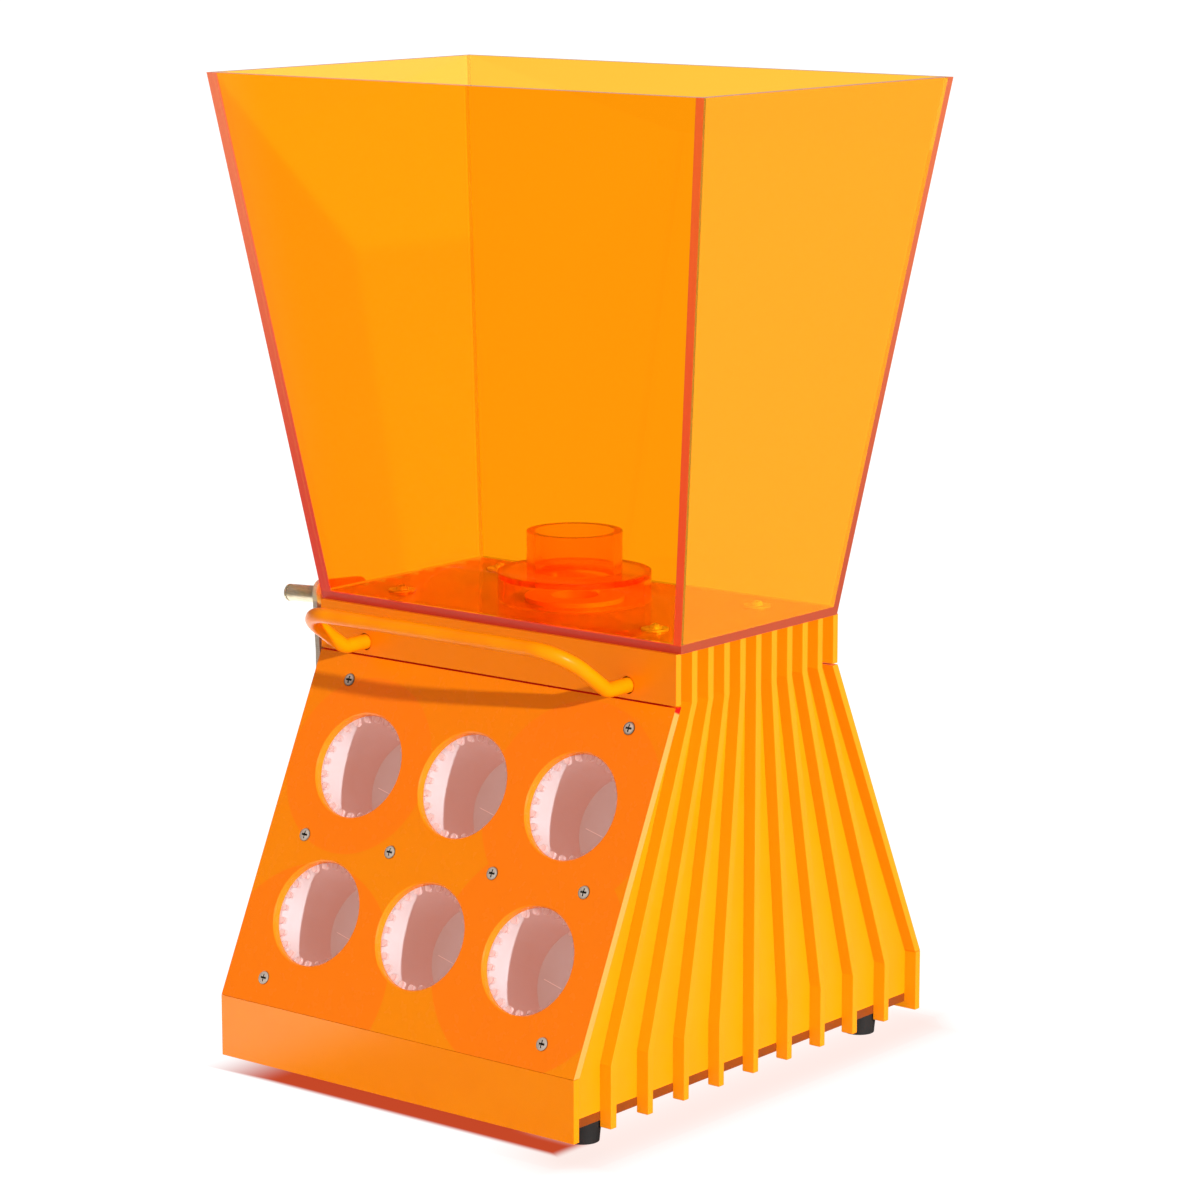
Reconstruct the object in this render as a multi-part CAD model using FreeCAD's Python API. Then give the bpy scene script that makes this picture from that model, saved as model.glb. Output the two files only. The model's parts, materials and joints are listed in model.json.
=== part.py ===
import FreeCAD, Part
import math
import os

from FreeCAD import Placement, Rotation, Vector

# Counter-top shot dispenser. A clear tapered hopper stands on a fluted body that widens
# towards its foot. A side crank turns a measuring drum under the hopper, and six sloping
# wells in the front panel hold the shot cups.
# Millimetres. +X is the right side seen from the front, -Y the front and +Z up.
# The origin lies on the table, under the middle of the body.

# ---------------------------------------------------------------- driving dimensions

# Body
body_width = 200.0          # across the front and rear sheets
foot_depth = 252.0          # front to back at the plinth
collar_depth = 116.0        # front to back at the collar
sheet_clearance = 7.0       # table to the lower edges of the sheets
plinth_top = 34.5           # lower kink of the profile
collar_kink = 179.7         # upper kink of the profile
body_top = 202.0            # underside of the hopper
front_sheet = 3.5           # thickness of the three front sheets
rear_sheet = 3.5            # thickness of the three rear sheets
side_sheet = 4.0            # thickness of the side panels
seam_gap = 0.8              # open joint between collar and sloping panel
panel_seam = 0.2            # joint between sloping panel and plinth

# Side fins
fin_count = 9
fin_thickness = 3.5
fin_depth = 6.0             # how far a fin stands out of the side panel

# Deck, base and rails
deck_thickness = 4.0
base_thickness = 4.0
foot_height = 10.0
foot_top_radius = 8.0
foot_bottom_radius = 7.0
foot_inset_x = 8.5          # side panel face to foot centre
front_foot_inset = 24.0     # front face to foot centre
rear_foot_inset = 27.5      # rear face to foot centre
rail_size = 8.0             # square bars along the inner edges
rail_end_gap = 3.0

# Hopper
hopper_side_overhang = 0.9  # body's sides to the hopper's foot, outwards
hopper_front_step = 2.0     # collar's face to the hopper's foot, inwards
hopper_rim_width = 272.0
hopper_rim_depth = 176.0
hopper_height = 233.5
hopper_wall = 4.0
hopper_floor_thickness = 4.0
floor_screw_x = 71.5
floor_screw_y = 34.0
washer_radius = 6.0
washer_thickness = 0.8

# Bottle seat in the hopper
seat_skirt_radius = 34.0
seat_skirt_height = 12.7
seat_wall = 3.0
seat_neck_radius = 21.2
seat_neck_wall = 3.7
seat_height = 30.5          # hopper floor to the rim of the neck
spigot_radius = 13.0
spigot_wall = 2.5
spigot_flange_radius = 22.0
spigot_flange_thickness = 2.0
seal_section = 2.0

# Wells in the front panel
well_low_row = 44.0         # along the slope from the panel's lower edge
well_high_row = 111.4
well_hole_radius = 23.4
well_hole_chamfer = 0.6
well_inner_radius = 24.0
well_wall = 2.0
well_flange_radius = 28.9
well_flange_thickness = 2.0
well_floor_depth = 41.0     # panel face to the inner face of the well's floor
ring_thickness = 2.0
ring_teeth = 24
tooth_reach = 3.4           # from the ring's root to a tooth tip
tooth_width = 2.8
carrier_thickness = 3.0
carrier_margin = 5.0        # panel edge to carrier edge along the slope
carrier_side_gap = 0.5
boss_radius = 4.0

# Small fasteners
screw_radius = 1.5
screw_head_radius = 2.8
screw_head_height = 2.2
screw_clearance = 0.1
sunk_dome = 0.5             # rise of a countersunk head above its rim
sunk_gap = 0.4              # open ring around a countersunk head's rim
recess_width = 0.9
recess_span = 3.4
recess_depth = 1.3
panel_screw_inset = 21.0    # body's side to the outer screws
panel_screw_inner_x = 29.0
panel_screw_rows = (11.5, 76.8, 148.3)
rear_screw_rows = (11.5, 80.0, 148.3)

# Carry handle
handle_radius = 3.3
handle_inset = 26.0         # body's side to the holes' axes
handle_above_kink = 6.1     # upper kink of the profile to the holes' axes
handle_stub = 13.5          # collar face to the first bend
handle_reach = 29.5         # forward run of the rising legs
handle_rise = 20.3
handle_lower_bend = 8.0
handle_upper_bend = 17.0
handle_hole_clearance = 0.5
handle_tail = 12.0          # length behind the collar's face
handle_ring_radius = 6.5
handle_ring_thickness = 4.0

# Crank
crank_below_deck = 31.0     # deck's underside to crank shaft and drum shaft
crank_shaft_radius = 3.0
crank_standoff = 7.0        # outer edge of the fins to the crank plate
crank_plate_thickness = 2.5
crank_front = 20.6          # shaft to the plate's front edge
crank_rear = 13.8           # shaft to the plate's rear edge
crank_rise = 41.7           # shaft to the plate's highest corner
crank_drop = 13.0           # shaft to the plate's lower edge
crank_fall = 2.6            # how much lower the rear top corner lies
crank_corner = 6.0
crank_bend = 9.0            # shaft to the line where the plate bends outward
crank_lean = 3.5            # outward lean of the upper plate, in degrees
crank_nut_flats = 10.0
crank_nut_height = 5.0
crank_thread = 1.5          # shaft end standing out of the nut
grip_offset_y = 16.0        # grip axis in front of the shaft
grip_offset_z = 34.2        # grip axis above the shaft, before the lean
grip_pin_radius = 2.0
grip_radius = 3.9
grip_length = 16.8
grip_play = 0.3
grip_cap_thickness = 1.6
bush_wall = 0.95
bush_flange_radius = 7.0
bush_flange_thickness = 2.0
bush_end_play = 0.4
running_fit = 0.05          # radial play of shafts in their bearings

# Gears
gear_teeth = 20
gear_width = 5.0
gear_pressure_angle = 25.0
gear_backlash = 0.25        # taken off each tooth at the pitch circle
gear_flank_points = 4
gear_side_gap = 1.0

# Bearing plate
bearing_plate_thickness = 4.0
bearing_plate_margin = 13.0

# Measuring drum and its housing
drum_radius = 15.5
drum_half_length = 45.0
drum_play = 0.1
drum_end_play = 0.3
pocket_half_width = 12.0
pocket_floor = 4.5          # above the drum's axis
pocket_end_wall = 2.0
housing_half_depth = 19.0
housing_cap_thickness = 3.0
housing_roof = 4.4          # drum bore to the seal under the spigot
shaft_end = 3.0             # shaft ends beyond their last bearing
outlet_half_width = 7.0
trough_height = 14.0
trough_half_depth = 16.0
trough_wall = 2.0
housing_screw_inset = 5.0

# Spout
spout_radius = 4.5
spout_wall = 1.0
spout_bend = 12.0
spout_fall = 20.0           # trough's underside to the level run through the side panel
spout_overhang = 10.0       # outer edge of the fins to the falling end's axis
spout_drop = 18.0
spout_level_run = 14.0
spout_hole_clearance = 0.3
spout_sill = 0.5            # trough floor to the spout's lower side

# ---------------------------------------------------------------- derived values

half_width = body_width / 2
half_foot = foot_depth / 2
half_collar = collar_depth / 2
slope_run = half_foot - half_collar
slope_rise = collar_kink - plinth_top
slope_angle = math.atan2(slope_run, slope_rise)
slope_length = math.hypot(slope_run, slope_rise)
slope_tan = math.tan(slope_angle)
slope_cos = math.cos(slope_angle)

side_face = half_width - fin_depth
side_inner = side_face - side_sheet
panel_screw_x = half_width - panel_screw_inset
handle_half_span = half_width - handle_inset
spout_drop_x = half_width + spout_overhang
collar_inner_front = -half_collar + front_sheet
collar_inner_rear = half_collar - rear_sheet
plinth_inner_front = -half_foot + front_sheet
plinth_inner_rear = half_foot - rear_sheet
deck_bottom = body_top - deck_thickness
crank_height = deck_bottom - crank_below_deck
handle_height = collar_kink + handle_above_kink
base_top = foot_height + base_thickness

first_top = -half_collar + front_sheet / 2
first_foot = -half_foot + front_sheet / 2
top_pitch = (collar_depth - front_sheet / 2 - rear_sheet / 2) / (fin_count + 1)
foot_pitch = (foot_depth - front_sheet / 2 - rear_sheet / 2) / (fin_count + 1)

floor_top = body_top + hopper_floor_thickness
hopper_top = body_top + hopper_height
hopper_foot_width = body_width + 2 * hopper_side_overhang
hopper_foot_depth = collar_depth - 2 * hopper_front_step
lean_x = (hopper_rim_width - hopper_foot_width) / 2 / hopper_height
lean_y = (hopper_rim_depth - hopper_foot_depth) / 2 / hopper_height
wall_x = hopper_wall * math.hypot(1.0, lean_x)      # wall measured along X
wall_y = hopper_wall * math.hypot(1.0, lean_y)      # wall measured along Y

well_columns = int(side_inner / well_flange_radius)
well_column_pitch = 2 * side_inner / well_columns
ring_back = front_sheet + ring_thickness
flange_back = ring_back + well_flange_thickness
carrier_back = flange_back + carrier_thickness
well_outer_radius = well_inner_radius + well_wall
well_bore_clearance = 0.1


def fan_y(step, z):
    """Y of the centre plane of fin number step at height z (0 is the front sheet)."""
    share = min(max((collar_kink - z) / slope_rise, 0.0), 1.0)
    start = first_top + share * (first_foot - first_top)
    pitch = top_pitch + share * (foot_pitch - top_pitch)
    return start + step * pitch


def between_fins(step, z):
    """Middle of the channel between fin number step and the next one."""
    return (fan_y(step, z) + fan_y(step + 1, z)) / 2


crank_y = between_fins(2, crank_height)
centre_distance = -crank_y
gear_pitch_radius = centre_distance / 2
gear_module = 2 * gear_pitch_radius / gear_teeth
crank_inner_x = -half_width - crank_standoff
crank_outer_x = crank_inner_x - crank_plate_thickness
grip_y = crank_y - grip_offset_y
grip_z = crank_height + grip_offset_z
grip_start_x = crank_outer_x - grip_play
grip_end_x = grip_start_x - grip_length
grip_cap_x = grip_end_x - grip_play
bush_radius = crank_shaft_radius + running_fit + bush_wall
bush_flange_x = -side_inner + bush_flange_thickness
gear_outer_x = bush_flange_x + gear_side_gap
gear_inner_x = gear_outer_x + gear_width
bearing_plate_x = gear_inner_x + gear_side_gap
bearing_plate_end = bearing_plate_x + bearing_plate_thickness

housing_half_length = drum_half_length + drum_end_play
housing_bottom = crank_height - housing_half_depth
housing_end_x = housing_half_length + housing_cap_thickness
trough_bottom = housing_bottom - trough_height
seal_base = crank_height + drum_radius + drum_play + housing_roof
spigot_bottom = seal_base + seal_section
spout_exit_height = trough_bottom - spout_fall
spout_y = between_fins(5, spout_exit_height)
spout_start_z = trough_bottom + trough_wall + spout_sill + spout_radius


# ---------------------------------------------------------------- helpers

def box(x0, x1, y0, y1, z0, z1):
    return Part.makeBox(x1 - x0, y1 - y0, z1 - z0, Vector(x0, y0, z0))


def cylinder(radius, start, axis, length):
    return Part.makeCylinder(radius, length, start, axis)


def tube(outer, inner, start, axis, length):
    return cylinder(outer, start, axis, length).cut(cylinder(inner, start, axis, length))


def polygon_face(points):
    return Part.Face(Part.makePolygon(points + [points[0]]))


def side_plate(outline, x0, x1):
    """Flat piece with an outline in the YZ plane, from x0 to x1."""
    face = polygon_face([Vector(x0, y, z) for y, z in outline])
    return face.extrude(Vector(x1 - x0, 0, 0))


def prismatoid(lower, upper):
    """Solid between two four-cornered faces whose edges run parallel."""
    faces = [polygon_face(lower), polygon_face(upper)]
    for i in range(4):
        j = (i + 1) % 4
        faces.append(polygon_face([lower[i], lower[j], upper[j], upper[i]]))
    solid = Part.Solid(Part.Shell(faces))
    if solid.Volume < 0:
        solid.reverse()
    return solid


def placed(shape, placement):
    moved = shape.copy()
    moved.Placement = placement.multiply(moved.Placement)
    return moved


def mirrored(shape, normal):
    return shape.mirror(Vector(0, 0, 0), normal)


def cut_all(shape, tools):
    for tool in tools:
        shape = shape.cut(tool)
    return shape


def fuse_all(shapes):
    result = shapes[0]
    for shape in shapes[1:]:
        result = result.fuse(shape)
    return result.removeSplitter()


# The sloping panel's own frame: X across, Y up the slope, Z out of the panel's face.
panel_frame = Placement(
    Vector(0, -half_foot, plinth_top),
    Rotation(Vector(1, 0, 0), 90 - math.degrees(slope_angle)),
)


def on_front(shape):
    return placed(shape, panel_frame)


def on_rear(shape):
    return mirrored(on_front(shape), Vector(0, 1, 0))


def recess_cross(x, y, top):
    """Two crossing slots that are cut down into a screw's head from height top."""
    half = recess_span / 2
    slot = recess_width / 2
    low = top - recess_depth
    high = top + recess_depth
    return [
        box(x - half, x + half, y - slot, y + slot, low, high),
        box(x - slot, x + slot, y - half, y + half, low, high),
    ]


def pan_screw(x, y, face, length):
    """Cross-recess pan-head screw along -Z, with its head seated at height face."""
    cap_radius = (screw_head_radius ** 2 + screw_head_height ** 2) / (2 * screw_head_height)
    centre = Vector(x, y, face + screw_head_height - cap_radius)
    ball = Part.makeSphere(cap_radius, centre)
    keep = cylinder(screw_head_radius, Vector(x, y, face), Vector(0, 0, 1), screw_head_height)
    head = ball.common(keep)
    shank = cylinder(screw_radius, Vector(x, y, face - length), Vector(0, 0, 1), length)
    return cut_all(head.fuse(shank), recess_cross(x, y, face + screw_head_height)).removeSplitter()


def sunk_screw(x, y, face, length):
    """Cross-recess screw along -Z, with a raised countersunk head whose rim is at height face."""
    down = Vector(0, 0, -1)
    rim = Vector(x, y, face)
    cap_radius = (screw_head_radius ** 2 + sunk_dome ** 2) / (2 * sunk_dome)
    ball = Part.makeSphere(cap_radius, Vector(x, y, face + sunk_dome - cap_radius))
    dome = ball.common(cylinder(screw_head_radius, rim, Vector(0, 0, 1), sunk_dome))
    cone = Part.makeCone(screw_head_radius, screw_radius, screw_head_radius - screw_radius, rim, down)
    shank = cylinder(screw_radius, rim, down, length)
    solid = fuse_all([dome, cone, shank])
    return cut_all(solid, recess_cross(x, y, face + sunk_dome)).removeSplitter()


def sunk_hole(x, y, depth):
    """Countersunk hole along -Z through a sheet whose face is at height 0."""
    down = Vector(0, 0, -1)
    face = Vector(x, y, 0)
    radius = screw_radius + screw_clearance
    cone = Part.makeCone(screw_head_radius + sunk_gap, radius, screw_head_radius - radius, face, down)
    return cylinder(radius, face, down, depth).fuse(cone)


def rounded_path(points, radii):
    """Wire along straight runs joined by tangent arcs."""
    edges = []
    start = points[0]
    for i, radius in enumerate(radii, 1):
        corner = points[i]
        back = (points[i - 1] - corner).normalize()
        ahead = (points[i + 1] - corner).normalize()
        half_angle = back.getAngle(ahead) / 2
        reach = radius / math.tan(half_angle)
        bisector = (back + ahead).normalize()
        entry = corner + back * reach
        leave = corner + ahead * reach
        middle = corner + bisector * (radius / math.sin(half_angle) - radius)
        edges.append(Part.LineSegment(start, entry).toShape())
        edges.append(Part.Arc(entry, middle, leave).toShape())
        start = leave
    edges.append(Part.LineSegment(start, points[-1]).toShape())
    return Part.Wire(edges)


def swept_rod(path, radius):
    first = path.Edges[0]
    start = first.valueAt(first.FirstParameter)
    axis = first.tangentAt(first.FirstParameter)
    profile = Part.Wire(Part.makeCircle(radius, start, axis))
    return path.makePipeShell([profile], True, True)


# ---------------------------------------------------------------- hopper

def hopper_half_x(z):
    return hopper_foot_width / 2 + (z - body_top) * lean_x


def hopper_half_y(z):
    return hopper_foot_depth / 2 + (z - body_top) * lean_y


def hopper_block(z0, z1, x_span, y_span):
    """Prismatoid between two heights; the spans give the X and Y limits at a height."""
    corners = []
    for z in (z0, z1):
        x0, x1 = x_span(z)
        y0, y1 = y_span(z)
        corners.append([Vector(x0, y0, z), Vector(x1, y0, z), Vector(x1, y1, z), Vector(x0, y1, z)])
    return prismatoid(corners[0], corners[1])


def hopper_floor():
    floor = hopper_block(
        body_top, floor_top,
        lambda z: (-hopper_half_x(z), hopper_half_x(z)),
        lambda z: (-hopper_half_y(z), hopper_half_y(z)),
    )
    holes = [cylinder(spigot_radius, Vector(0, 0, body_top), Vector(0, 0, 1), hopper_floor_thickness)]
    for x, y in floor_screw_places():
        radius = screw_radius + screw_clearance
        holes.append(cylinder(radius, Vector(x, y, body_top), Vector(0, 0, 1), hopper_floor_thickness))
    return cut_all(floor, holes)


def hopper_side(sign):
    def x_span(z):
        outer = sign * hopper_half_x(z)
        return sorted((outer, outer - sign * wall_x))
    return hopper_block(
        floor_top, hopper_top, x_span,
        lambda z: (-hopper_half_y(z), hopper_half_y(z) - wall_y),
    )


def hopper_front():
    return hopper_block(
        floor_top, hopper_top,
        lambda z: (-hopper_half_x(z) + wall_x, hopper_half_x(z) - wall_x),
        lambda z: (-hopper_half_y(z), -hopper_half_y(z) + wall_y),
    )


def hopper_back():
    return hopper_block(
        floor_top, hopper_top,
        lambda z: (-hopper_half_x(z), hopper_half_x(z)),
        lambda z: (hopper_half_y(z) - wall_y, hopper_half_y(z)),
    )


def floor_screw_places():
    return [(sx * floor_screw_x, sy * floor_screw_y) for sx in (-1, 1) for sy in (-1, 1)]


def hopper_washers():
    up = Vector(0, 0, 1)
    rings = []
    for x, y in floor_screw_places():
        place = Vector(x, y, floor_top)
        rings.append(tube(washer_radius, screw_radius + screw_clearance, place, up, washer_thickness))
    return Part.makeCompound(rings)


def hopper_screws():
    seat = floor_top + washer_thickness
    length = washer_thickness + hopper_floor_thickness + deck_thickness
    return Part.makeCompound([pan_screw(x, y, seat, length) for x, y in floor_screw_places()])


# ---------------------------------------------------------------- bottle seat

def seat_skirt():
    up = Vector(0, 0, 1)
    skirt = cylinder(seat_skirt_radius, Vector(0, 0, floor_top), up, seat_skirt_height)
    inner = seat_skirt_radius - seat_wall
    hollow = cylinder(inner, Vector(0, 0, floor_top), up, seat_skirt_height - seat_wall)
    mouth = cylinder(seat_neck_radius - seat_neck_wall, Vector(0, 0, floor_top), up, seat_skirt_height)
    return cut_all(skirt, [hollow, mouth])


def seat_neck():
    base = Vector(0, 0, floor_top + seat_skirt_height)
    height = seat_height - seat_skirt_height
    return tube(seat_neck_radius, seat_neck_radius - seat_neck_wall, base, Vector(0, 0, 1), height)


def seat_spigot():
    up = Vector(0, 0, 1)
    flange = cylinder(spigot_flange_radius, Vector(0, 0, floor_top), up, spigot_flange_thickness)
    stem = cylinder(spigot_radius, Vector(0, 0, spigot_bottom), up, floor_top - spigot_bottom)
    bore_length = floor_top + spigot_flange_thickness - spigot_bottom
    bore = cylinder(spigot_radius - spigot_wall, Vector(0, 0, spigot_bottom), up, bore_length)
    return flange.fuse(stem).cut(bore).removeSplitter()


def spigot_seal():
    """Flat ring that seals the spigot's end in the drum housing."""
    base = Vector(0, 0, seal_base)
    return tube(spigot_radius, spigot_radius - spigot_wall, base, Vector(0, 0, 1), seal_section)


# ---------------------------------------------------------------- body sheets

def collar_sheet(outer_y, inner_y):
    return box(-half_width, half_width, min(outer_y, inner_y), max(outer_y, inner_y),
               collar_kink + seam_gap / 2, body_top)


def plinth_sheet(outer_y, inner_y):
    return box(-half_width, half_width, min(outer_y, inner_y), max(outer_y, inner_y),
               sheet_clearance, plinth_top - panel_seam / 2)


def sloping_sheet(thickness):
    """Sloping sheet in world axes at the front, with level upper and lower edges."""
    across = thickness / slope_cos
    low = plinth_top + panel_seam / 2
    high = collar_kink - seam_gap / 2
    low_y = -half_foot + (low - plinth_top) * slope_tan
    high_y = -half_foot + (high - plinth_top) * slope_tan
    outline = [(low_y, low), (high_y, high), (high_y + across, high), (low_y + across, low)]
    return side_plate(outline, -half_width, half_width)


def well_places():
    first = -(well_columns - 1) / 2 * well_column_pitch
    columns = [first + i * well_column_pitch for i in range(well_columns)]
    return [(x, s) for s in (well_high_row, well_low_row) for x in columns]


def panel_screw_places():
    low, middle, high = panel_screw_rows
    places = [(sign * panel_screw_x, s) for s in (low, middle, high) for sign in (-1, 1)]
    places += [(sign * panel_screw_inner_x, middle) for sign in (-1, 1)]
    return places


def front_panel():
    inward = Vector(0, 0, -1)
    tools = []
    for x, s in well_places():
        tools.append(cylinder(well_hole_radius, Vector(x, s, 0), inward, front_sheet))
        tools.append(Part.makeCone(well_hole_radius + well_hole_chamfer, well_hole_radius,
                                   well_hole_chamfer, Vector(x, s, 0), inward))
    for x, s in panel_screw_places():
        tools.append(sunk_hole(x, s, front_sheet))
    return cut_all(sloping_sheet(front_sheet), [on_front(tool) for tool in tools])


def front_screws():
    length = carrier_back
    return Part.makeCompound([on_front(sunk_screw(x, s, 0, length)) for x, s in panel_screw_places()])


def rear_screw_places():
    x = side_inner - rail_size / 2
    return [(sign * x, s) for s in rear_screw_rows for sign in (-1, 1)]


def rear_panel():
    tools = [on_rear(sunk_hole(x, s, rear_sheet)) for x, s in rear_screw_places()]
    return cut_all(mirrored(sloping_sheet(rear_sheet), Vector(0, 1, 0)), tools)


def rear_screws():
    length = rear_sheet + rail_size
    return Part.makeCompound([on_rear(sunk_screw(x, s, 0, length)) for x, s in rear_screw_places()])


def rear_battens():
    """Square bars behind the rear panel that its screws bite into."""
    end = rail_size
    bars = []
    for sign in (-1, 1):
        x0, x1 = sorted((sign * side_inner, sign * (side_inner - rail_size)))
        bar = box(x0, x1, end, slope_length - end, -rear_sheet - rail_size, -rear_sheet)
        for x, s in rear_screw_places():
            if x0 < x < x1:
                start = Vector(x, s, -rear_sheet)
                bar = bar.cut(cylinder(screw_radius, start, Vector(0, 0, -1), rail_size))
        bars.append(on_rear(bar))
    return Part.makeCompound(bars)


def front_collar():
    inward = Vector(0, 1, 0)
    radius = handle_radius + handle_hole_clearance
    tools = []
    for sign in (-1, 1):
        start = Vector(sign * handle_half_span, -half_collar, handle_height)
        tools.append(cylinder(radius, start, inward, front_sheet))
    return cut_all(collar_sheet(-half_collar, collar_inner_front), tools)


def inner_outline():
    """Side view of the space between the front and rear sheets, from base to deck top."""
    low = plinth_top + panel_seam / 2
    high = collar_kink - seam_gap / 2

    def half(foot_inner, collar_inner, thickness):
        across = thickness / slope_cos
        slope = [(half_foot - (z - plinth_top) * slope_tan - across, z) for z in (low, high)]
        return (
            [(foot_inner, base_top), (foot_inner, plinth_top - panel_seam / 2)]
            + slope
            + [(collar_inner, collar_kink + seam_gap / 2), (collar_inner, body_top)]
        )

    front = [(-y, z) for y, z in half(half_foot - front_sheet, half_collar - front_sheet, front_sheet)]
    rear = half(half_foot - rear_sheet, half_collar - rear_sheet, rear_sheet)
    return front + rear[::-1]


def side_panel(sign):
    x0, x1 = sorted((sign * side_inner, sign * side_face))
    return side_plate(inner_outline(), x0, x1)


def side_panel_left():
    bush_hole = cylinder(bush_radius, Vector(-side_face, crank_y, crank_height),
                         Vector(1, 0, 0), side_sheet)
    spout_hole = cylinder(spout_radius + spout_hole_clearance,
                          Vector(-side_face, spout_y, spout_exit_height),
                          Vector(1, 0, 0), side_sheet)
    return cut_all(side_panel(-1), [bush_hole, spout_hole])


def side_fins(sign):
    x0, x1 = sorted((sign * side_face, sign * half_width))
    half = fin_thickness / 2
    heights = (sheet_clearance, plinth_top, collar_kink, body_top)
    fins = []
    for step in range(1, fin_count + 1):
        front = [(fan_y(step, z) - half, z) for z in heights]
        rear = [(fan_y(step, z) + half, z) for z in reversed(heights)]
        fins.append(side_plate(front + rear, x0, x1))
    return Part.makeCompound(fins)


def deck_plate():
    deck = box(-side_inner, side_inner, collar_inner_front, collar_inner_rear, deck_bottom, body_top)
    down = Vector(0, 0, -1)
    tools = [cylinder(spigot_radius, Vector(0, 0, body_top), down, deck_thickness)]
    for x, y in floor_screw_places():
        tools.append(cylinder(screw_radius, Vector(x, y, body_top), down, deck_thickness))
    return cut_all(deck, tools)


def foot_places():
    x = side_face - foot_inset_x
    rows = (front_foot_inset - half_foot, half_foot - rear_foot_inset)
    return [(sign * x, y) for sign in (-1, 1) for y in rows]


def base_plate():
    base = box(-side_face, side_face, plinth_inner_front, plinth_inner_rear, foot_height, base_top)
    up = Vector(0, 0, 1)
    tools = [cylinder(screw_radius, Vector(x, y, foot_height), up, base_thickness)
             for x, y in foot_places()]
    return cut_all(base, tools)


def rails(z0, y0, y1):
    bars = []
    for sign in (-1, 1):
        x0, x1 = sorted((sign * side_inner, sign * (side_inner - rail_size)))
        bars.append(box(x0, x1, y0, y1, z0, z0 + rail_size))
    return bars


def deck_rails():
    return rails(deck_bottom - rail_size, collar_inner_front + handle_tail,
                 collar_inner_rear - rail_end_gap)


def base_rails():
    return rails(base_top, plinth_inner_front + rail_end_gap, plinth_inner_rear - rail_end_gap)


def frame_rails():
    return Part.makeCompound(deck_rails() + base_rails())


def foot_head_recess():
    return screw_head_height + 1.0


def rubber_feet():
    up = Vector(0, 0, 1)
    feet = []
    for x, y in foot_places():
        foot = Part.makeCone(foot_bottom_radius, foot_top_radius, foot_height, Vector(x, y, 0), up)
        shaft = cylinder(screw_radius, Vector(x, y, 0), up, foot_height)
        pit = cylinder(screw_head_radius + screw_clearance, Vector(x, y, 0), up, foot_head_recess())
        feet.append(cut_all(foot, [shaft, pit]))
    return Part.makeCompound(feet)


def foot_screws():
    flip = Placement(Vector(0, 0, foot_head_recess()), Rotation(Vector(1, 0, 0), 180))
    length = foot_height - foot_head_recess() + base_thickness
    screws = []
    for x, y in foot_places():
        screws.append(placed(pan_screw(x, -y, 0, length), flip))
    return Part.makeCompound(screws)


# ---------------------------------------------------------------- wells

def well_carrier():
    half = side_inner - carrier_side_gap
    plate = box(-half, half, carrier_margin, slope_length - carrier_margin, -carrier_back, -flange_back)
    bosses = [cylinder(boss_radius, Vector(x, s, -front_sheet), Vector(0, 0, -1),
                       flange_back - front_sheet) for x, s in panel_screw_places()]
    solid = fuse_all([plate] + bosses)
    depth = carrier_back - front_sheet
    tools = [cylinder(screw_radius, Vector(x, s, -front_sheet), Vector(0, 0, -1), depth)
             for x, s in panel_screw_places()]
    tools += [cylinder(well_outer_radius + well_bore_clearance, Vector(x, s, -flange_back),
                       Vector(0, 0, -1), carrier_thickness) for x, s in well_places()]
    return on_front(cut_all(solid, tools))


def well_cup(x, s):
    inward = Vector(0, 0, -1)
    start = Vector(x, s, -ring_back)
    flange = cylinder(well_flange_radius, start, inward, well_flange_thickness)
    wall = cylinder(well_outer_radius, start, inward, well_floor_depth + well_wall - ring_back)
    hollow = cylinder(well_inner_radius, start, inward, well_floor_depth - ring_back)
    return on_front(flange.fuse(wall).cut(hollow).removeSplitter())


def ring_tooth(angle):
    """One tooth pointing at the ring's centre, with a round tip."""
    root = well_inner_radius + 0.5
    half = tooth_width / 2
    tip_centre = well_inner_radius - tooth_reach + half
    shank = box(tip_centre, root, -half, half, 0, ring_thickness)
    tip = cylinder(half, Vector(tip_centre, 0, 0), Vector(0, 0, 1), ring_thickness)
    tooth = shank.fuse(tip)
    tooth.rotate(Vector(0, 0, 0), Vector(0, 0, 1), angle)
    return tooth


def well_ring(x, s):
    ring = tube(well_flange_radius, well_inner_radius, Vector(0, 0, 0), Vector(0, 0, 1), ring_thickness)
    teeth = [ring_tooth(i * 360 / ring_teeth) for i in range(ring_teeth)]
    solid = fuse_all([ring] + teeth)
    return on_front(placed(solid, Placement(Vector(x, s, -ring_back), Rotation())))


# ---------------------------------------------------------------- carry handle

def carry_handle():
    inner_y = -half_collar + handle_tail
    stub_y = -half_collar - handle_stub
    grip_bar_y = stub_y - handle_reach
    grip_bar_z = handle_height + handle_rise
    left = [
        Vector(-handle_half_span, inner_y, handle_height),
        Vector(-handle_half_span, stub_y, handle_height),
        Vector(-handle_half_span, grip_bar_y, grip_bar_z),
    ]
    right = [Vector(-p.x, p.y, p.z) for p in reversed(left)]
    radii = [handle_lower_bend, handle_upper_bend, handle_upper_bend, handle_lower_bend]
    return swept_rod(rounded_path(left + right, radii), handle_radius)


def handle_rings():
    """Clamp rings that hold the handle's ends behind the collar."""
    rings = []
    for sign in (-1, 1):
        start = Vector(sign * handle_half_span, collar_inner_front, handle_height)
        rings.append(tube(handle_ring_radius, handle_radius, start, Vector(0, 1, 0),
                          handle_ring_thickness))
    return Part.makeCompound(rings)


# ---------------------------------------------------------------- crank

def along_x(y, z, x0, x1, radius):
    return cylinder(radius, Vector(x0, y, z), Vector(1, 0, 0), x1 - x0)


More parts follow.
